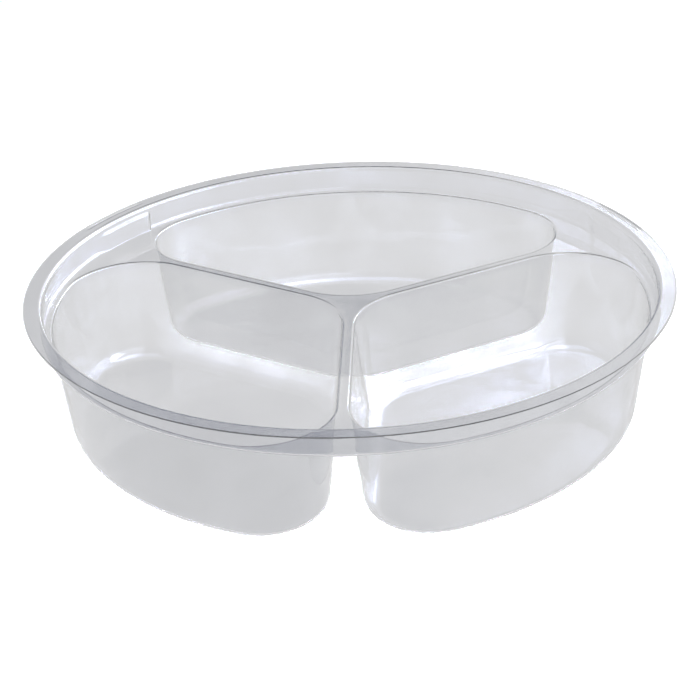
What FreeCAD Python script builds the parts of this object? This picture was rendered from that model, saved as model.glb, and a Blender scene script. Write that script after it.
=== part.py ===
import FreeCAD, Part
import os
from math import atan2, cos, degrees, pi, radians, sin, sqrt

import Sketcher

# A round tray insert formed from one clear plastic sheet: a flat flange, a short seat wall that steps
# down to a deck, and three deep compartments of 120 degrees each, with a Y of narrow lands between
# them. Each region of the sheet is a node of its own, and they meet face to face.
# Z is the tray's axis, Z = 0 is the plane that the compartment floors stand on, and one land runs
# out along -Y. All lengths are in millimetres.

DIMENSIONS = {
    "rim_radius": 92.0,       # trimmed outer edge of the flange
    "height": 38.0,           # from the floors' undersides to the top of the flange
    "gauge": 0.5,             # thickness of the formed sheet
    "lip_radius": 86.9,       # inner skin of the seat wall just under the flange
    "seat_radius": 87.6,      # inner skin of the seat wall at its foot: a slight snap undercut
    "seat_depth": 7.8,        # from the top of the flange to the top of the deck
    "lip_bend": 1.3,          # upper skin of the bend from the flange into the seat wall
    "bend_radius": 0.8,       # upper skin of the bends from the deck into the compartments
    "seat_fillet": 1.2,       # inner skin of the bend from the seat wall to the deck
    "half_land": 1.8,         # from the middle of a land to the compartment wall under its bend
    "opening_radius": 84.8,   # round outer wall of a compartment, under its bend
    "hub_corner": 23.0,       # plan radius of a compartment's corner nearest the tray's centre
    "rim_corner": 20.0,       # plan radius of its two outer corners
    "draft": 6.65,            # slope of the compartment walls, in degrees
    "floor_fillet": 3.0,      # inner skin of the bend from a wall to the floor
    "lug_radius": 86.1,       # inner skin of the stacking lugs
    "lug_rise": 6.2,          # height of a lug above the deck
    "lug_slope": 0.9,         # run and rise of the slope at a lug's top
    "lug_span": 17.0,         # angle that a lug covers, in degrees
}

COMPARTMENTS = {"right": 330.0, "rear": 90.0, "left": 210.0}
LUGS = {"right_stacking_lug": 26.5, "left_stacking_lug": 146.5}

X_AXIS = -1                   # the sketcher's number for a sketch's horizontal axis and its origin
START, END, CENTRE = 1, 2, 3  # the sketcher's numbers for the points of an edge

doc = FreeCAD.newDocument("tray_insert")
sheet = doc.addObject("Spreadsheet::Sheet", "Sizes")
for row, (alias, value) in enumerate(DIMENSIONS.items(), start=1):
    sheet.set(f"A{row}", alias)
    sheet.set(f"B{row}", str(value))
    sheet.setAlias(f"B{row}", alias)
doc.recompute()

# Rules: heights, radii and offsets that follow from the driving dimensions, as expressions.
DECK_TOP = "(Sizes.height - Sizes.seat_depth)"
DECK_EDGE = "(Sizes.seat_radius - Sizes.seat_fillet)"
FLOOR_BEND_LEVEL = "(Sizes.floor_fillet + Sizes.gauge)"
WALL_DROP = f"({DECK_TOP} - Sizes.bend_radius - {FLOOR_BEND_LEVEL})"
# From the wall under its upper bend to the edge of the flat floor, measured inwards in plan.
FLOOR_INSET = (
    "((Sizes.bend_radius + Sizes.floor_fillet + "
    f"{WALL_DROP} * sin(Sizes.draft)) / cos(Sizes.draft) - Sizes.bend_radius)"
)
BEND_EDGE_INSET = "(0 - Sizes.bend_radius)"
FLANGE_INNER = "(Sizes.lip_radius + Sizes.lip_bend)"


def value(rule):
    """A rule's value for the sheet as it stands, used to place a sketch's edges before it is solved."""
    result = sheet.evalExpression(rule)
    return float(getattr(result, "Value", result))


def new_body(label):
    body = doc.addObject("PartDesign::Body", label)
    body.Label = label
    return body


def new_sketch(body, name, plane, turn=0.0, lift=None):
    """A sketch on one of the body's own planes, turned about Z and, on XY, lifted by a rule."""
    sketch = body.newObject("Sketcher::SketchObject", name)
    origin_plane = next(f for f in body.Origin.OriginFeatures if f.Role == plane)
    sketch.AttachmentSupport = [(origin_plane, "")]
    sketch.MapMode = "FlatFace"
    axis = FreeCAD.Vector(0, 0, 1) if plane == "XY_Plane" else FreeCAD.Vector(0, 1, 0)
    sketch.AttachmentOffset = FreeCAD.Placement(FreeCAD.Vector(), FreeCAD.Rotation(axis, turn))
    if lift:
        sketch.setExpression("AttachmentOffset.Base.z", lift)
    return sketch


def turned(azimuth):
    """A body's placement when it is turned about the tray's axis."""
    return FreeCAD.Placement(FreeCAD.Vector(), FreeCAD.Rotation(FreeCAD.Vector(0, 0, 1), azimuth))


def constrain(sketch, kind, *items):
    return sketch.addConstraint(Sketcher.Constraint(kind, *items))


def drive(sketch, name, rule, kind, *items):
    """A dimension of the sketch, bound to the sheet by its rule."""
    index = constrain(sketch, kind, *items, abs(value(rule)))
    sketch.renameConstraint(index, name)
    sketch.setExpression(f"Constraints.{name}", rule)


def place_point(sketch, name, edge, point, x_rule, y_rule):
    drive(sketch, f"{name}_x", x_rule, "DistanceX", X_AXIS, START, edge, point)
    drive(sketch, f"{name}_y", y_rule, "DistanceY", X_AXIS, START, edge, point)


def arc(centre, radius, first_degrees, last_degrees):
    circle = Part.Circle(centre, FreeCAD.Vector(0, 0, 1), radius)
    return Part.ArcOfCircle(circle, radians(first_degrees), radians(last_degrees))


def draw_polygon(sketch, corners):
    """A closed outline through corners given as (name, x rule, y rule)."""
    points = [FreeCAD.Vector(value(x_rule), value(y_rule), 0) for _, x_rule, y_rule in corners]
    for i, point in enumerate(points):
        sketch.addGeometry(Part.LineSegment(point, points[(i + 1) % len(points)]), False)
    for i, (name, x_rule, y_rule) in enumerate(corners):
        constrain(sketch, "Coincident", (i - 1) % len(points), END, i, START)
        place_point(sketch, name, i, START, x_rule, y_rule)


def draw_compartment_outline(sketch, inset_rule):
    """A rounded sector of 120 degrees about +X, its edges moved in by the inset."""
    arc_radius = value(f"Sizes.opening_radius - {inset_rule}")
    rim_corner = value(f"Sizes.rim_corner - {inset_rule}")
    hub_corner = value(f"Sizes.hub_corner - {inset_rule}")
    land_side = value(f"Sizes.half_land + {inset_rule}")
    along = FreeCAD.Vector(cos(pi / 3), sin(pi / 3), 0)
    inward = FreeCAD.Vector(sin(pi / 3), -cos(pi / 3), 0)
    hub_centre = FreeCAD.Vector((hub_corner + land_side) / sin(pi / 3), 0, 0)
    reach = sqrt((arc_radius - rim_corner) ** 2 - (land_side + rim_corner) ** 2)
    upper_centre = along * reach + inward * (land_side + rim_corner)
    lower_centre = FreeCAD.Vector(upper_centre.x, -upper_centre.y, 0)
    turn = degrees(atan2(upper_centre.y, upper_centre.x))
    upper_arc = arc(upper_centre, rim_corner, turn, 150)
    hub_arc = arc(hub_centre, hub_corner, 150, 210)
    lower_arc = arc(lower_centre, rim_corner, 210, 360 - turn)
    outline = [
        arc(FreeCAD.Vector(), arc_radius, 0, turn),
        upper_arc,
        Part.LineSegment(upper_arc.EndPoint, hub_arc.StartPoint),
        hub_arc,
        Part.LineSegment(hub_arc.EndPoint, lower_arc.StartPoint),
        lower_arc,
        arc(FreeCAD.Vector(), arc_radius, -turn, 0),
    ]
    for edge in outline:
        sketch.addGeometry(edge, False)
    first_outer, upper, upper_side, hub, lower_side, lower, last_outer = range(len(outline))
    for edge in (first_outer, last_outer):
        constrain(sketch, "Coincident", edge, CENTRE, X_AXIS, START)
    constrain(sketch, "PointOnObject", first_outer, START, X_AXIS)
    constrain(sketch, "Coincident", last_outer, END, first_outer, START)
    for edge in range(first_outer, last_outer):
        constrain(sketch, "Tangent", edge, END, edge + 1, START)
    constrain(sketch, "PointOnObject", hub, CENTRE, X_AXIS)
    constrain(sketch, "Equal", upper, lower)
    constrain(sketch, "Equal", upper_side, lower_side)
    constrain(sketch, "Angle", X_AXIS, upper_side, radians(-120))
    drive(sketch, "outer_wall", f"Sizes.opening_radius - {inset_rule}", "Radius", first_outer)
    drive(sketch, "rim_corner", f"Sizes.rim_corner - {inset_rule}", "Radius", upper)
    drive(sketch, "hub_corner", f"Sizes.hub_corner - {inset_rule}", "Radius", hub)
    drive(sketch, "land_side", f"Sizes.half_land + {inset_rule}", "Distance", X_AXIS, START, upper_side)


def draw_bent_sheet(sketch, top_centre, top_rule, foot_centre, foot_rule):
    """The sheet's section from a level, over a bend, down a wall and round a bend to a lower level.

    The two centres are (x rule, y rule). Each bend's two skins are arcs about its centre, and the
    other two rules are the radii of the skins that show from above."""
    top = FreeCAD.Vector(value(top_centre[0]), value(top_centre[1]), 0)
    foot = FreeCAD.Vector(value(foot_centre[0]), value(foot_centre[1]), 0)
    gauge = value("Sizes.gauge")
    top_radius = value(top_rule)
    foot_radius = value(foot_rule)
    span = foot - top
    across = FreeCAD.Vector(span.y, -span.x, 0) / span.Length
    slope = (top_radius + foot_radius) / span.Length
    normal = span / span.Length * slope + across * sqrt(1 - slope ** 2)
    facing = degrees(atan2(normal.y, normal.x)) % 360
    top_upper = arc(top, top_radius, 90, facing)
    top_under = arc(top, top_radius - gauge, 90, facing)
    foot_upper = arc(foot, foot_radius, -90, facing - 180)
    foot_under = arc(foot, foot_radius + gauge, -90, facing - 180)
    section = [
        top_upper,
        Part.LineSegment(top_upper.EndPoint, foot_upper.EndPoint),
        foot_upper,
        Part.LineSegment(foot_upper.StartPoint, foot_under.StartPoint),
        foot_under,
        Part.LineSegment(foot_under.EndPoint, top_under.EndPoint),
        top_under,
        Part.LineSegment(top_under.StartPoint, top_upper.StartPoint),
    ]
    for edge in section:
        sketch.addGeometry(edge, False)
    upper_bend, wall, foot_bend, foot_end, foot_back, wall_back, upper_back, top_end = range(len(section))
    constrain(sketch, "Tangent", upper_bend, END, wall, START)
    constrain(sketch, "Tangent", wall, END, foot_bend, END)
    constrain(sketch, "Coincident", foot_bend, START, foot_end, START)
    constrain(sketch, "Coincident", foot_end, END, foot_back, START)
    constrain(sketch, "Tangent", foot_back, END, wall_back, START)
    constrain(sketch, "Tangent", wall_back, END, upper_back, END)
    constrain(sketch, "Coincident", upper_back, START, top_end, START)
    constrain(sketch, "Coincident", top_end, END, upper_bend, START)
    constrain(sketch, "Coincident", upper_bend, CENTRE, upper_back, CENTRE)
    constrain(sketch, "Coincident", foot_bend, CENTRE, foot_back, CENTRE)
    constrain(sketch, "Vertical", top_end)
    constrain(sketch, "Vertical", foot_end)
    constrain(sketch, "Vertical", upper_bend, CENTRE, upper_bend, START)
    constrain(sketch, "Vertical", foot_bend, CENTRE, foot_bend, START)
    place_point(sketch, "top_centre", upper_bend, CENTRE, *top_centre)
    place_point(sketch, "foot_centre", foot_bend, CENTRE, *foot_centre)
    drive(sketch, "top_bend", top_rule, "Radius", upper_bend)
    drive(sketch, "top_bend_under", f"{top_rule} - Sizes.gauge", "Radius", upper_back)
    drive(sketch, "foot_bend", foot_rule, "Radius", foot_bend)
    drive(sketch, "foot_bend_under", f"{foot_rule} + Sizes.gauge", "Radius", foot_back)


def add_pad(body, name, profile, length_rule):
    pad = body.newObject("PartDesign::Pad", name)
    pad.Profile = profile
    pad.setExpression("Length", length_rule)
    return pad


def add_turned(body, kind, name, profile, angle_rule=None):
    """A Revolution or Groove of the sketch about Z, spread evenly about it if it isn't a full turn."""
    feature = body.newObject(f"PartDesign::{kind}", name)
    feature.Profile = profile
    feature.ReferenceAxis = (profile, ["V_Axis"])
    if angle_rule:
        feature.Midplane = True
        feature.setExpression("Angle", angle_rule)
    else:
        feature.Angle = 360
    return feature


def make_rim_flange():
    """The flat ring that hangs on a bowl's rim, out to the trimmed edge."""
    body = new_body("rim_flange")
    section = new_sketch(body, "flange_section", "XZ_Plane")
    underside = "Sizes.height - Sizes.gauge"
    draw_polygon(section, [
        ("inner_underside", FLANGE_INNER, underside),
        ("outer_underside", "Sizes.rim_radius", underside),
        ("outer_top", "Sizes.rim_radius", "Sizes.height"),
        ("inner_top", FLANGE_INNER, "Sizes.height"),
    ])
    add_turned(body, "Revolution", "flange", section)
    return body


def lug_window(sketch):
    """The stretch of the seat wall that a lug takes the place of."""
    bottom = f"{DECK_TOP} - Sizes.gauge"
    top = f"{DECK_TOP} + Sizes.lug_rise"
    draw_polygon(sketch, [
        ("inner_bottom", DECK_EDGE, bottom),
        ("outer_bottom", "Sizes.rim_radius", bottom),
        ("outer_top", "Sizes.rim_radius", top),
        ("inner_top", DECK_EDGE, top),
    ])


def make_seat_wall():
    """The wall from the flange to the deck, with its two bends and a window for each lug."""
    body = new_body("seat_wall")
    section = new_sketch(body, "wall_section", "XZ_Plane")
    draw_bent_sheet(
        section,
        (FLANGE_INNER, "Sizes.height - Sizes.lip_bend"),
        "Sizes.lip_bend",
        (DECK_EDGE, f"{DECK_TOP} + Sizes.seat_fillet"),
        "Sizes.seat_fillet",
    )
    add_turned(body, "Revolution", "wall", section)
    for label, azimuth in LUGS.items():
        window = new_sketch(body, f"{label}_window", "XZ_Plane", turn=azimuth)
        lug_window(window)
        add_turned(body, "Groove", f"{label}_opening", window, "Sizes.lug_span")
    return body


def make_stacking_lug(label, azimuth):
    """A hollow pad that stands in from the seat wall, open at the back and underneath."""
    body = new_body(label)
    top = f"{DECK_TOP} + Sizes.lug_rise"
    wall_in = "Sizes.lug_radius + Sizes.lug_slope"
    wall_out = "Sizes.seat_radius + Sizes.gauge"
    face = new_sketch(body, "lug_section", "XZ_Plane")
    draw_polygon(face, [
        ("inner_foot", "Sizes.lug_radius", DECK_TOP),
        ("outer_foot", wall_out, DECK_TOP),
        ("outer_top", wall_out, top),
        ("slope_top", wall_in, top),
        ("slope_foot", "Sizes.lug_radius", f"{top} - Sizes.lug_slope"),
    ])
    add_turned(body, "Revolution", "lug", face, "Sizes.lug_span")
    hollow = new_sketch(body, "hollow_section", "XZ_Plane")
    below = f"{DECK_TOP} - Sizes.gauge"
    beyond = f"{wall_out} + Sizes.gauge"
    ceiling = f"{top} - Sizes.gauge"
    draw_polygon(hollow, [
        ("inner_foot", "Sizes.lug_radius + Sizes.gauge", below),
        ("outer_foot", beyond, below),
        ("outer_top", beyond, ceiling),
        ("slope_top", f"{wall_in} + Sizes.gauge", ceiling),
        ("slope_foot", "Sizes.lug_radius + Sizes.gauge", f"{ceiling} - Sizes.lug_slope"),
    ])
    end_walls = "2 * Sizes.gauge / Sizes.seat_radius * 180 / pi"
    add_turned(body, "Groove", "hollow", hollow, f"Sizes.lug_span - {end_walls}")
    body.Placement = turned(azimuth)
    return body


def make_deck():
    """The flat web inside the seat wall: three openings, and the lands left between them."""
    body = new_body("deck")
    disc = new_sketch(body, "deck_disc", "XY_Plane", lift=f"{DECK_TOP} - Sizes.gauge")
    disc.addGeometry(Part.Circle(FreeCAD.Vector(), FreeCAD.Vector(0, 0, 1), value(DECK_EDGE)), False)
    constrain(disc, "Coincident", 0, CENTRE, X_AXIS, START)
    drive(disc, "edge", DECK_EDGE, "Radius", 0)
    add_pad(body, "web", disc, "Sizes.gauge")
    for side, bisector in COMPARTMENTS.items():
        outline = new_sketch(body, f"{side}_opening", "XY_Plane", turn=bisector, lift=DECK_TOP)
        draw_compartment_outline(outline, BEND_EDGE_INSET)
        doc.recompute()
        opening = body.newObject("PartDesign::Pocket", f"{side}_cut")
        opening.Profile = outline
        opening.Type = "ThroughAll"
    return body


def make_compartment_wall(side, bisector):
    """The closed wall of one deep cup: a bend down from the deck, the draft, and a bend in to the floor."""
    body = new_body(f"{side}_compartment_wall")
    path = new_sketch(body, "wall_path", "XY_Plane")
    draw_compartment_outline(path, "0")
    section = new_sketch(body, "wall_section", "XZ_Plane")
    draw_bent_sheet(
        section,
        ("Sizes.opening_radius + Sizes.bend_radius", f"{DECK_TOP} - Sizes.bend_radius"),
        "Sizes.bend_radius",
        (f"Sizes.opening_radius - {FLOOR_INSET}", FLOOR_BEND_LEVEL),
        "Sizes.floor_fillet",
    )
    doc.recompute()
    wall = body.newObject("PartDesign::AdditivePipe", "wall")
    wall.Profile = section
    wall.Spine = path
    body.Placement = turned(bisector)
    return body


def make_compartment_floor(side, bisector):
    body = new_body(f"{side}_compartment_floor")
    outline = new_sketch(body, "floor_outline", "XY_Plane")
    draw_compartment_outline(outline, FLOOR_INSET)
    add_pad(body, "floor", outline, "Sizes.gauge")
    body.Placement = turned(bisector)
    return body


nodes = [make_rim_flange(), make_seat_wall(), make_deck()]
nodes += [make_compartment_wall(side, bisector) for side, bisector in COMPARTMENTS.items()]
nodes += [make_compartment_floor(side, bisector) for side, bisector in COMPARTMENTS.items()]
nodes += [make_stacking_lug(label, azimuth) for label, azimuth in LUGS.items()]
doc.recompute()

for item in doc.Objects:
    if "Invalid" in item.State or "Error" in item.State:
        raise RuntimeError(f"{item.Name} failed: {item.State}")
for node in nodes:
    if node.Shape.isNull() or not node.Shape.isValid() or not node.Shape.Solids:
        raise RuntimeError(f"{node.Label} has no valid solid")

os.makedirs("parts", exist_ok=True)
for node in nodes:
    node.Shape.exportStep(f"parts/{node.Label}.step")
    box = node.Shape.BoundBox
    print(f"{node.Label}: {node.Shape.Volume:.1f} mm3, {len(node.Shape.Solids)} solid,"
          f" Z {box.ZMin:.2f} to {box.ZMax:.2f}")
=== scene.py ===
from math import atan2, cos, pi, radians, sin, sqrt

import bmesh
import bpy
import numpy as np
from mathutils import Matrix, Vector
from mathutils.geometry import tessellate_polygon


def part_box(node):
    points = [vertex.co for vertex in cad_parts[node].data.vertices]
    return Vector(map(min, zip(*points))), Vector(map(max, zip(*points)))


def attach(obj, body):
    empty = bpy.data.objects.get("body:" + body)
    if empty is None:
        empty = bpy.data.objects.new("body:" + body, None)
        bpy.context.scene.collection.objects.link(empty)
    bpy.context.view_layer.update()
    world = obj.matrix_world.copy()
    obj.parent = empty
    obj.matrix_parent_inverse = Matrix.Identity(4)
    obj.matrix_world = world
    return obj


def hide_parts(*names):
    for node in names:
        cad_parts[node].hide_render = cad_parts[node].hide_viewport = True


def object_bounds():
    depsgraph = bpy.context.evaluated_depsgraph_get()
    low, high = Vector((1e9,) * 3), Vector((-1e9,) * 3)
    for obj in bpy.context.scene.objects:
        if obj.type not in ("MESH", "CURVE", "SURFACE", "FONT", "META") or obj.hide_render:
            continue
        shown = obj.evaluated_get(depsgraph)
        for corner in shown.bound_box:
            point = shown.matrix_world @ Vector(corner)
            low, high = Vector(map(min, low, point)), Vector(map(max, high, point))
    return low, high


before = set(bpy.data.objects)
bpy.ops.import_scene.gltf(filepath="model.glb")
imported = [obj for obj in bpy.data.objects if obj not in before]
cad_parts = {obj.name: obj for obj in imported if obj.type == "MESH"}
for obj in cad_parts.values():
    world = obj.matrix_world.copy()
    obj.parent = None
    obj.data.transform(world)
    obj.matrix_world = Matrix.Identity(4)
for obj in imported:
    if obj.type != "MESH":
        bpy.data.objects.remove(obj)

# A clear formed tray insert: one thin sheet with a flange, a seat wall, a deck and three deep
# compartments. Lengths are in millimetres until the mesh is made, and MM turns them into metres.
MM = 0.001
CAD_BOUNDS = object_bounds()
LOW, HIGH = CAD_BOUNDS

# The flange's radius and height and the deck's height come from the CAD's boxes.
BOX_MARGIN = 0.01
RIM = min(HIGH.x, HIGH.y, -LOW.x, -LOW.y) / MM - BOX_MARGIN
TOP = HIGH.z / MM
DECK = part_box("deck")[1].z / MM

# The seat wall: the bend under the flange, with its centre's radius, and the fillet at the deck.
GAUGE = 0.4
LIP_CENTRE, LIP_BEND = 88.2, 1.3
DECK_EDGE, SEAT_FILLET = 86.4, 1.2

# The stacking lugs: face radius, fillet, top and the slope under it, then in degrees their span, where
# they are, and how gently each one's first and last ends ease off.
LUG_RADIUS, LUG_FILLET, LUG_TOP, LUG_SLOPE = 86.1, 0.35, 36.4, 1.0
LUG_SPAN = 17.0
LUGS = {"right": 26.5, "left": 146.5}
LUG_ENDS = {"right": (4.0, 4.0), "left": (0.8, 4.5)}

# The compartments: half the land between two of them, the openings' outer radius and corners, the
# bends at the deck and the floor, the walls' draft, and which way each one faces.
HALF_LAND = 1.8
OPENING = 84.8
HUB_CORNER, RIM_CORNER = 23.0, 20.0
BEND, FLOOR_BEND, DRAFT = 0.8, 4.0, radians(6.65)
COMPARTMENTS = {"right": 330.0, "rear": 90.0, "left": 210.0}
FLOOR_LEVEL = GAUGE + FLOOR_BEND
FLOOR_INSET = (BEND + FLOOR_BEND + (DECK - BEND - FLOOR_LEVEL) * sin(DRAFT)) / cos(DRAFT) - BEND

# The trimmed edge's rounding, and how close a supporting loop lies to a bend that it keeps crisp.
EDGE_ROUNDING = 0.12
SUPPORT = 0.04

# How far the formed walls and floors wander from the mould's shape, and the mark over each lug.
WALL_SWELL, FLOOR_LIFT = 0.16, 0.22
WAVE_LENGTHS = (46.0, 31.0, 19.0)
MARK_INNER, MARK_OUTER, MARK_EDGE, MARK_DEPTH = 90.3, 91.6, 0.3, 0.32

# How far apart the points round a compartment are: rim side, straight sides, rim corners, hub corner.
RIM_STEP, SIDE_STEP, CORNER_STEP, HUB_STEP = 1.7, 2.0, 1.0, 0.9

# The plastic's tint by place, made lighter or darker as painted light and shade: painted light on the
# walls near the middle, painted shade on the walls near the rim, the compartments' floors, the lands
# between the openings, and the deck's outer part with the seat wall and flange.
INNER_WALL_PAINTED_LIGHT = (0.950, 0.953, 0.962, 1.0)
OUTER_WALL_PAINTED_SHADE = (0.850, 0.855, 0.867, 1.0)
FLOOR_PANE_PAINTED_SHADE = (0.868, 0.874, 0.895, 1.0)
LAND_PAINTED_SHADE = (0.885, 0.890, 0.905, 1.0)
COLLAR_PAINTED_SHADE = (0.820, 0.828, 0.853, 1.0)

# The light that the room sends from its three parts.
ROOM_LEFT = (0.72, 0.73, 0.75, 1.0)
DARK_CARD = (0.10, 0.12, 0.18, 1.0)
ROOM_RIGHT = (1.85, 1.84, 1.82, 1.0)


def smooth(x):
    """A step from 0 to 1 that starts and ends level."""
    x = np.clip(x, 0.0, 1.0)
    return x * x * (3.0 - 2.0 * x)


# ---------------------------------------------------------------- the sheet's upper skin


class Skin:
    """Points in millimetres and faces of one skin of the sheet."""

    def __init__(self):
        self.points = []
        self.faces = []

    def loop(self, points):
        """Adds the points of one closed loop and returns their indices."""
        first = len(self.points)
        self.points.extend(map(tuple, points))
        return list(range(first, first + len(points)))

    def bridge(self, outer, inner):
        """Joins two loops of the same length with quads."""
        for i, a in enumerate(outer):
            j = (i + 1) % len(outer)
            self.faces.append((a, outer[j], inner[j], inner[i]))


def azimuths():
    """Angles round the tray in degrees, close together where a lug or a flange mark ends."""
    steps = [np.arange(0.0, 360.0, 1.5)]
    for centre in LUGS.values():
        steps.append(np.arange(centre - LUG_SPAN / 2 - 1.0, centre + LUG_SPAN / 2 + 1.01, 0.25))
    angles = np.unique(np.round(np.concatenate(steps) % 360.0, 3))
    return angles[np.diff(np.append(angles, 360.0)) > 0.05]


def lug_share(angles):
    """How far each angle is drawn in to a lug's face, from 0 to 1, easing off at the lug's two ends."""
    share = np.zeros_like(angles)
    for side, centre in LUGS.items():
        first, last = LUG_ENDS[side]
        along = (angles - centre + 180.0) % 360.0 - 180.0 + LUG_SPAN / 2
        share += smooth(along / first) * smooth((LUG_SPAN - along) / last)
    return share


def wall_profile(foot, foot_bend):
    """(radius, height) down the seat wall: the bend from the flange, the wall, the bend to the deck."""
    top = Vector((LIP_CENTRE, TOP - LIP_BEND))
    base = Vector((foot, DECK + foot_bend))
    span = base - top
    across = Vector((span.y, -span.x)).normalized()
    slope = (LIP_BEND + foot_bend) / span.length
    normal = span.normalized() * slope + across * sqrt(1.0 - slope * slope)
    facing = atan2(normal.y, normal.x) % (2 * pi)
    upper = [top + LIP_BEND * Vector((cos(a), sin(a))) for a in np.linspace(pi / 2, facing, 12)]
    lower = [base + foot_bend * Vector((cos(a), sin(a))) for a in np.linspace(facing - pi, -pi / 2, 9)]
    wall = [upper[-1].lerp(lower[0], f) for f in np.linspace(0.0, 1.0, 13)[1:-1]]
    return np.array([tuple(p) for p in upper + wall + lower])


def lug_profile(plain):
    """The same points with the wall drawn in to a lug's face."""
    lug = wall_profile(LUG_RADIUS - LUG_FILLET, LUG_FILLET)
    straight = np.interp(lug[:, 1], plain[::-1, 1], plain[::-1, 0])
    drawn = smooth((LUG_TOP - lug[:, 1]) / LUG_SLOPE)
    on_wall = (lug[:, 1] < LUG_TOP) & (lug[:, 1] > DECK + LUG_FILLET)
    lug[on_wall, 0] = (straight + (LUG_RADIUS - straight) * drawn)[on_wall]
    above = lug[:, 1] >= LUG_TOP
    lug[above] = np.column_stack([plain[above, 0], plain[above, 1]])
    return lug


def add_rim(skin):
    """The flange and the seat wall. Returns the flange's outermost loop and the deck's edge."""
    angles = azimuths()
    turn = np.radians(angles)
    share = lug_share(angles)
    plain = wall_profile(DECK_EDGE, SEAT_FILLET)
    lug = lug_profile(plain)
    flange = np.concatenate([
        [RIM - EDGE_ROUNDING, RIM - EDGE_ROUNDING - SUPPORT],
        np.arange(RIM - 0.3, 90.0, -0.2),
        np.arange(89.9, LIP_CENTRE + 0.2, -0.4),
        [LIP_CENTRE + SUPPORT],
    ])

    def ring(radius, z):
        radius, z = np.broadcast_to(radius, turn.shape), np.broadcast_to(z, turn.shape)
        return skin.loop(np.column_stack([radius * np.cos(turn), radius * np.sin(turn), z]))

    loops = [ring(radius, TOP - flange_mark(radius, angles)) for radius in flange]
    for (plain_r, plain_z), (lug_r, lug_z) in zip(plain, lug):
        loops.append(ring(plain_r + (lug_r - plain_r) * share, plain_z + (lug_z - plain_z) * share))
    loops.append(ring(DECK_EDGE + (LUG_RADIUS - LUG_FILLET - DECK_EDGE) * share - SUPPORT, DECK))
    for outer, inner in zip(loops, loops[1:]):
        skin.bridge(outer, inner)
    return loops[0], loops[-1]


def flange_mark(radius, angles):
    """Depth of the shallow strip that the forming plug leaves in the flange over each lug."""
    across = smooth((radius - MARK_INNER) / MARK_EDGE) * smooth((MARK_OUTER - radius) / MARK_EDGE)
    return MARK_DEPTH * across * lug_share(angles)


def outline(bisector):
    """Points and inward normals round a compartment's wall, as drawn under its bend."""
    side = np.array([cos(pi / 3), sin(pi / 3)])
    inward = np.array([sin(pi / 3), -cos(pi / 3)])
    reach = sqrt((OPENING - RIM_CORNER) ** 2 - (HALF_LAND + RIM_CORNER) ** 2)
    corner = side * reach + inward * (HALF_LAND + RIM_CORNER)
    hub = np.array([(HUB_CORNER + HALF_LAND) / sin(pi / 3), 0.0])
    turn = atan2(corner[1], corner[0])

    def arc(centre, radius, first, last, step):
        count = max(2, round(abs(last - first) * radius / step))
        a = first + (last - first) * np.arange(count) / count
        normals = -np.column_stack([np.cos(a), np.sin(a)])
        return centre - radius * normals, normals

    def line(first, last, normal, step):
        count = max(2, round(np.linalg.norm(last - first) / step))
        f = np.arange(count)[:, None] / count
        return first + (last - first) * f, np.tile(normal, (count, 1))

    mirror = np.array([1.0, -1.0])
    side_out = corner - RIM_CORNER * inward
    side_in = hub - HUB_CORNER * inward
    parts = [
        arc(np.zeros(2), OPENING, -turn, turn, RIM_STEP),
        arc(corner, RIM_CORNER, turn, radians(150), CORNER_STEP),
        line(side_out, side_in, inward, SIDE_STEP),
        arc(hub, HUB_CORNER, radians(150), radians(210), HUB_STEP),
        line(side_in * mirror, side_out * mirror, inward * mirror, SIDE_STEP),
        arc(corner * mirror, RIM_CORNER, radians(210), 2 * pi - turn, CORNER_STEP),
    ]
    points = np.concatenate([p for p, _ in parts])
    normals = np.concatenate([n for _, n in parts])
    c, s = cos(radians(bisector)), sin(radians(bisector))
    turned = np.array([[c, s], [-s, c]])
    return points @ turned, normals @ turned


def ripple(x, y, z, seed):
    """A slow wave between -1 and 1, as a formed sheet has between its bends."""
    rng = np.random.default_rng(seed)
    total = np.zeros_like(x)
    for scale in WAVE_LENGTHS:
        k = rng.normal(size=3)
        k *= 2 * pi / scale / np.linalg.norm(k)
        total += np.sin(k[0] * x + k[1] * y + k[2] * z + rng.uniform(0, 2 * pi))
    return total / len(WAVE_LENGTHS)


def add_compartment(skin, bisector, seed):
    """One deep cup. Returns the loop where it meets the deck."""
    points, normals = outline(bisector)
    bend = [(BEND * cos(a) - BEND, DECK - BEND + BEND * sin(a)) for a in np.linspace(pi / 2, DRAFT, 9)]
    foot = [
        (FLOOR_INSET + FLOOR_BEND * cos(a), FLOOR_LEVEL + FLOOR_BEND * sin(a))
        for a in np.linspace(pi + DRAFT, 1.5 * pi, 15)
    ]
    start, end = np.array(bend[-1]), np.array(foot[0])
    wall = [tuple(start + (end - start) * f) for f in np.linspace(0, 1, 13)[1:-1]]
    rows = [(-BEND - SUPPORT, DECK)] + bend + wall + foot
    loops = []
    for inset, z in rows:
        down = np.clip((DECK - BEND - z) / (DECK - BEND - FLOOR_LEVEL), 0.0, 1.0)
        wave = ripple(points[:, 0], points[:, 1], np.full(len(points), z), seed)
        swell = WALL_SWELL * sin(pi * down) * wave
        ring = points + normals * (inset + swell)[:, None]
        loops.append(skin.loop(np.column_stack([ring, np.full(len(ring), z)])))
    floor_edge = points + normals * FLOOR_INSET
    middle = floor_edge.mean(axis=0)
    for f in [0.004] + list(np.linspace(0.08, 0.92, 8)):
        ring = floor_edge + (middle - floor_edge) * f
        wave = ripple(ring[:, 0], ring[:, 1], np.zeros(len(ring)), seed + 9)
        lift = FLOOR_LIFT * smooth(f / 0.5) * (0.6 + 0.4 * wave)
        loops.append(skin.loop(np.column_stack([ring, GAUGE + lift])))
    for outer, inner in zip(loops, loops[1:]):
        skin.bridge(outer, inner)
    centre_lift = np.mean([skin.points[i][2] for i in loops[-1]])
    centre = skin.loop([(middle[0], middle[1], centre_lift)])[0]
    last = loops[-1]
    skin.faces.extend((a, last[(i + 1) % len(last)], centre) for i, a in enumerate(last))
    return loops[0]


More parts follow.
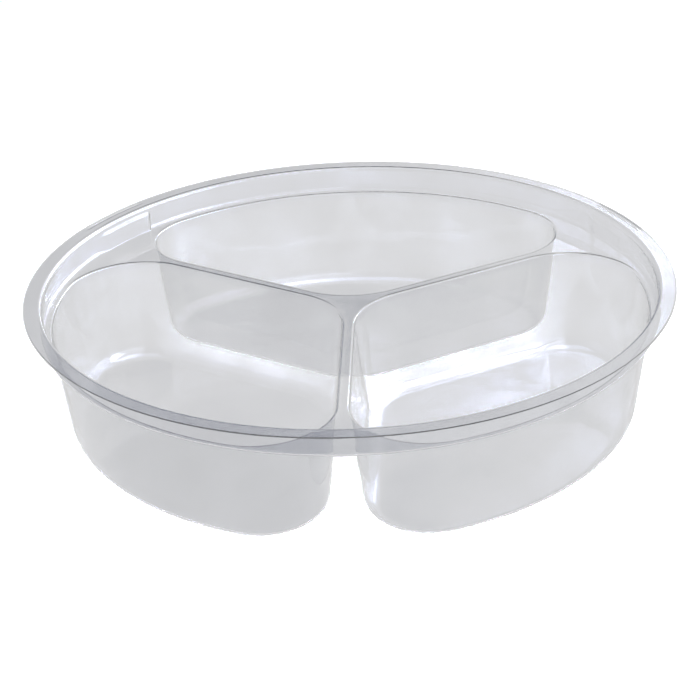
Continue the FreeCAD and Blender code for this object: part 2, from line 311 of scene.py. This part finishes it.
def add_deck(skin, edge, openings):
    """Flat faces between the seat wall's foot and the openings."""
    rings = [edge] + [ring[::-1] for ring in openings]
    flat = [Vector((skin.points[i][0], skin.points[i][1], 0.0)) for ring in rings for i in ring]
    index = [i for ring in rings for i in ring]
    count = 0
    polygons = []
    for ring in rings:
        polygons.append(flat[count:count + len(ring)])
        count += len(ring)
    skin.faces.extend(tuple(index[k] for k in triangle) for triangle in tessellate_polygon(polygons))


def vertex_normals(points, faces):
    """Normals of an open skin, each weighted by the areas of the faces round it and facing up."""
    normals = np.zeros_like(points)
    for size in (3, 4):
        corners = np.array([f for f in faces if len(f) == size])
        p = points[corners]
        if size == 3:
            flat = np.cross(p[:, 1] - p[:, 0], p[:, 2] - p[:, 0])
        else:
            flat = np.cross(p[:, 2] - p[:, 0], p[:, 3] - p[:, 1])
        for k in range(size):
            np.add.at(normals, corners[:, k], flat)
    return normals / np.linalg.norm(normals, axis=1, keepdims=True)


def make_sheet():
    """The closed sheet: upper skin, lower skin one gauge under it, and the rounded trimmed edge."""
    skin = Skin()
    outer, deck_edge = add_rim(skin)
    openings = [add_compartment(skin, b, seed) for seed, b in enumerate(COMPARTMENTS.values(), start=3)]
    add_deck(skin, deck_edge, openings)
    points = np.array(skin.points)
    normals = vertex_normals(points, skin.faces)
    upward = np.sign(normals[outer, 2].mean())
    under = points - normals * upward * GAUGE
    under[:, 2] = np.maximum(under[:, 2], 0.0)
    count = len(points)
    turn = np.arctan2(points[outer, 1], points[outer, 0])
    vertices = [tuple(p) for p in points] + [tuple(p) for p in under]
    faces = list(skin.faces) + [tuple(i + count for i in reversed(f)) for f in skin.faces]
    edge = [outer]
    upper_centre, lower_centre = TOP - EDGE_ROUNDING, TOP - GAUGE + EDGE_ROUNDING
    for centre_z, angles in ((upper_centre, (60, 30, 0)), (lower_centre, (0, -30, -60))):
        for a in angles:
            r = RIM - EDGE_ROUNDING + EDGE_ROUNDING * cos(radians(a))
            z = centre_z + EDGE_ROUNDING * sin(radians(a))
            first = len(vertices)
            vertices.extend((r * cos(t), r * sin(t), z) for t in turn)
            edge.append(list(range(first, first + len(turn))))
    edge.append([i + count for i in outer])
    for upper, lower in zip(edge, edge[1:]):
        for i, a in enumerate(upper):
            j = (i + 1) % len(upper)
            faces.append((a, lower[i], lower[j], upper[j]))
    mesh = bpy.data.meshes.new("formed_sheet")
    mesh.from_pydata([(x * MM, y * MM, z * MM) for x, y, z in vertices], [], faces)
    mesh.validate()
    sheet = bpy.data.objects.new("formed_sheet", mesh)
    bpy.context.scene.collection.objects.link(sheet)
    bm = bmesh.new()
    bm.from_mesh(mesh)
    bmesh.ops.recalc_face_normals(bm, faces=bm.faces)
    bm.to_mesh(mesh)
    bm.free()
    mesh.polygons.foreach_set("use_smooth", [True] * len(mesh.polygons))
    mesh.update()
    return sheet


# ---------------------------------------------------------------- materials


def step(tree, value, low, high):
    """A smooth step from 0 to 1 as the value goes from low to high."""
    node = tree.nodes.new("ShaderNodeMapRange")
    node.interpolation_type = "SMOOTHSTEP"
    node.inputs["From Min"].default_value = low
    node.inputs["From Max"].default_value = high
    tree.links.new(value, node.inputs["Value"])
    return node.outputs["Result"]


def mix(tree, factor, first, second):
    """Two colours mixed. Each is a colour or another node's output."""
    node = tree.nodes.new("ShaderNodeMix")
    node.data_type = "RGBA"
    tree.links.new(factor, node.inputs["Factor"])
    for name, colour in (("A", first), ("B", second)):
        if isinstance(colour, tuple):
            node.inputs[name].default_value = colour
        else:
            tree.links.new(colour, node.inputs[name])
    return node.outputs["Result"]


def noise(tree, where, scale, detail):
    """Cloudy values between 0 and 1."""
    node = tree.nodes.new("ShaderNodeTexNoise")
    node.inputs["Scale"].default_value = scale
    node.inputs["Detail"].default_value = detail
    tree.links.new(where, node.inputs["Vector"])
    return node.outputs["Fac"]


def spread(tree, value, low, high, to_low, to_high):
    """The value's range from low to high, moved to another range."""
    node = tree.nodes.new("ShaderNodeMapRange")
    node.inputs["From Min"].default_value = low
    node.inputs["From Max"].default_value = high
    node.inputs["To Min"].default_value = to_low
    node.inputs["To Max"].default_value = to_high
    tree.links.new(value, node.inputs["Value"])
    return node.outputs["Result"]


def clear_plastic():
    """Clear plastic with a faint haze, tinted lighter and darker by place as painted light and shade.
    Distances here are in metres.
    """
    material = bpy.data.materials.new("clear_formed_plastic")
    material.use_nodes = True
    tree = material.node_tree
    nodes, links = tree.nodes, tree.links
    shader = nodes["Principled BSDF"]
    shader.inputs["Transmission Weight"].default_value = 0.97
    shader.inputs["IOR"].default_value = 1.56
    where = nodes.new("ShaderNodeTexCoord").outputs["Object"]

    flat = nodes.new("ShaderNodeVectorMath")
    flat.operation = "MULTIPLY"
    flat.inputs[1].default_value = (1.0, 1.0, 0.0)
    links.new(where, flat.inputs[0])
    reach = nodes.new("ShaderNodeVectorMath")
    reach.operation = "LENGTH"
    links.new(flat.outputs["Vector"], reach.inputs[0])
    height = nodes.new("ShaderNodeSeparateXYZ")
    links.new(where, height.inputs["Vector"])
    # Painted light and shade: the tint is darker towards the rim, on the floors and up on the deck,
    # seat wall and flange, and lighter on the walls near the middle.
    outward = step(tree, reach.outputs["Value"], low=0.050, high=0.080)
    wall_light_and_shade = mix(tree, outward, INNER_WALL_PAINTED_LIGHT, OUTER_WALL_PAINTED_SHADE)
    deck_painted_shade = mix(tree, outward, LAND_PAINTED_SHADE, COLLAR_PAINTED_SHADE)
    over_floor = step(tree, height.outputs["Z"], low=0.0006, high=0.0045)
    over_cups = step(tree, height.outputs["Z"], low=0.0270, high=0.0295)
    colour = mix(tree, over_cups, mix(tree, over_floor, FLOOR_PANE_PAINTED_SHADE, wall_light_and_shade), deck_painted_shade)

    haze = noise(tree, where, scale=38.0, detail=3.0)
    cloud = nodes.new("ShaderNodeVectorMath")
    cloud.operation = "SCALE"
    links.new(colour, cloud.inputs[0])
    links.new(spread(tree, haze, 0.3, 0.7, to_low=0.94, to_high=1.02), cloud.inputs["Scale"])
    links.new(cloud.outputs["Vector"], shader.inputs["Base Color"])
    links.new(spread(tree, haze, 0.35, 0.7, to_low=0.02, to_high=0.07), shader.inputs["Roughness"])

    bump = nodes.new("ShaderNodeBump")
    bump.inputs["Strength"].default_value = 0.07
    bump.inputs["Distance"].default_value = 0.0004
    links.new(noise(tree, where, scale=160.0, detail=2.0), bump.inputs["Height"])
    links.new(bump.outputs["Normal"], shader.inputs["Normal"])
    return material


def pale_floor():
    material = bpy.data.materials.new("pale_floor")
    material.use_nodes = True
    shader = material.node_tree.nodes["Principled BSDF"]
    shader.inputs["Base Color"].default_value = (0.9, 0.9, 0.9, 1.0)
    shader.inputs["Roughness"].default_value = 0.9
    return material


# ---------------------------------------------------------------- the studio


def make_floor():
    half, gap = 3.0, 0.0002
    z = LOW.z - gap
    corners = [(-half, -half, z), (half, -half, z), (half, half, z), (-half, half, z)]
    mesh = bpy.data.meshes.new("floor")
    mesh.from_pydata(corners, [], [(0, 1, 2, 3)])
    floor = bpy.data.objects.new("floor", mesh)
    floor.data.materials.append(pale_floor())
    bpy.context.scene.collection.objects.link(floor)


def add_softbox(name, direction, distance, size, power, colour):
    """A rectangular light that faces the tray from a direction. Its size is width, then height."""
    data = bpy.data.lights.new(name, "AREA")
    data.shape = "RECTANGLE"
    data.size, data.size_y = size
    data.energy = power
    data.color = colour
    light = bpy.data.objects.new(name, data)
    towards = Vector(direction).normalized()
    light.location = towards * distance
    light.rotation_mode = "QUATERNION"
    light.rotation_quaternion = towards.to_track_quat("Z", "Y")
    bpy.context.scene.collection.objects.link(light)


def light_studio():
    """A white room with a dark card behind at the left, a wide softbox and a panel overhead."""
    world = bpy.data.worlds.new("studio")
    bpy.context.scene.world = world
    world.use_nodes = True
    tree = world.node_tree
    background = tree.nodes["Background"]
    split = tree.nodes.new("ShaderNodeSeparateXYZ")
    tree.links.new(tree.nodes.new("ShaderNodeTexCoord").outputs["Generated"], split.inputs["Vector"])
    rightward = split.outputs["X"]
    left = mix(tree, step(tree, rightward, low=-0.70, high=-0.35), ROOM_LEFT, DARK_CARD)
    sides = mix(tree, step(tree, rightward, low=-0.08, high=0.12), left, ROOM_RIGHT)
    shade = tree.nodes.new("ShaderNodeVectorMath")
    shade.operation = "SCALE"
    tree.links.new(sides, shade.inputs[0])
    dimming = spread(tree, split.outputs["Z"], 0.0, 0.75, to_low=1.0, to_high=0.75)
    tree.links.new(dimming, shade.inputs["Scale"])
    tree.links.new(shade.outputs["Vector"], background.inputs["Color"])
    background.inputs["Strength"].default_value = 0.88
    add_softbox(
        "key_softbox", direction=(0.77, 0.25, 0.59), distance=2.4, size=(5.0, 2.4),
        power=49.0, colour=(1.0, 0.995, 0.99),
    )
    add_softbox(
        "top_panel", direction=(0.0, 0.0, 1.0), distance=2.5, size=(2.0, 2.0),
        power=12.0, colour=(1.0, 1.0, 1.0),
    )


def add_camera():
    """A long lens a little above the rim, turned slightly, as the tray is seen from its front."""
    distance, elevation, azimuth, roll = 0.5125, radians(24.47), radians(2.68), radians(-2.35)
    shift_right, shift_up = -0.00052, -0.02059
    aim = Vector((0.0, 0.0, HIGH.z))
    back = Vector((sin(azimuth) * cos(elevation), -cos(azimuth) * cos(elevation), sin(elevation)))
    place = aim + distance * back
    right = (-back).cross(Vector((0, 0, 1))).normalized()
    up = right.cross(-back)
    look = (aim + shift_right * right + shift_up * up - place).normalized()
    right = look.cross(Vector((0, 0, 1))).normalized()
    up = right.cross(look)
    right, up = cos(roll) * right + sin(roll) * up, cos(roll) * up - sin(roll) * right
    data = bpy.data.cameras.new("camera")
    data.sensor_width = 36.0
    data.lens = 92.4
    data.clip_start = 0.01
    camera = bpy.data.objects.new("camera", data)
    turned = Matrix((right, up, -look)).transposed().to_4x4()
    camera.matrix_world = Matrix.Translation(place) @ turned
    bpy.context.scene.collection.objects.link(camera)
    bpy.context.scene.camera = camera


def tone(settings):
    """Keeps the lit floor white, and lets the sheet over it go down to a soft grey at once."""
    settings.view_transform = "Standard"
    settings.use_curve_mapping = True
    curve = settings.curve_mapping.curves[3]
    for at, to in ((0.3, 0.285), (0.55, 0.5), (0.75, 0.625), (0.9, 0.735), (0.97, 0.88)):
        curve.points.new(at, to)
    settings.curve_mapping.update()


sheet = make_sheet()
sheet.data.materials.append(clear_plastic())
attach(sheet, "root")
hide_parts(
    "rim_flange", "seat_wall", "deck",
    *[f"{side}_compartment_{part}" for side in COMPARTMENTS for part in ("wall", "floor")],
    *[f"{side}_stacking_lug" for side in LUGS],
)
sheet.visible_shadow = False
sheet.visible_diffuse = False

make_floor()
light_studio()
add_camera()
scene = bpy.context.scene
tone(scene.view_settings)
scene.cycles.max_bounces = 64
scene.cycles.transmission_bounces = 64
scene.cycles.transparent_max_bounces = 16
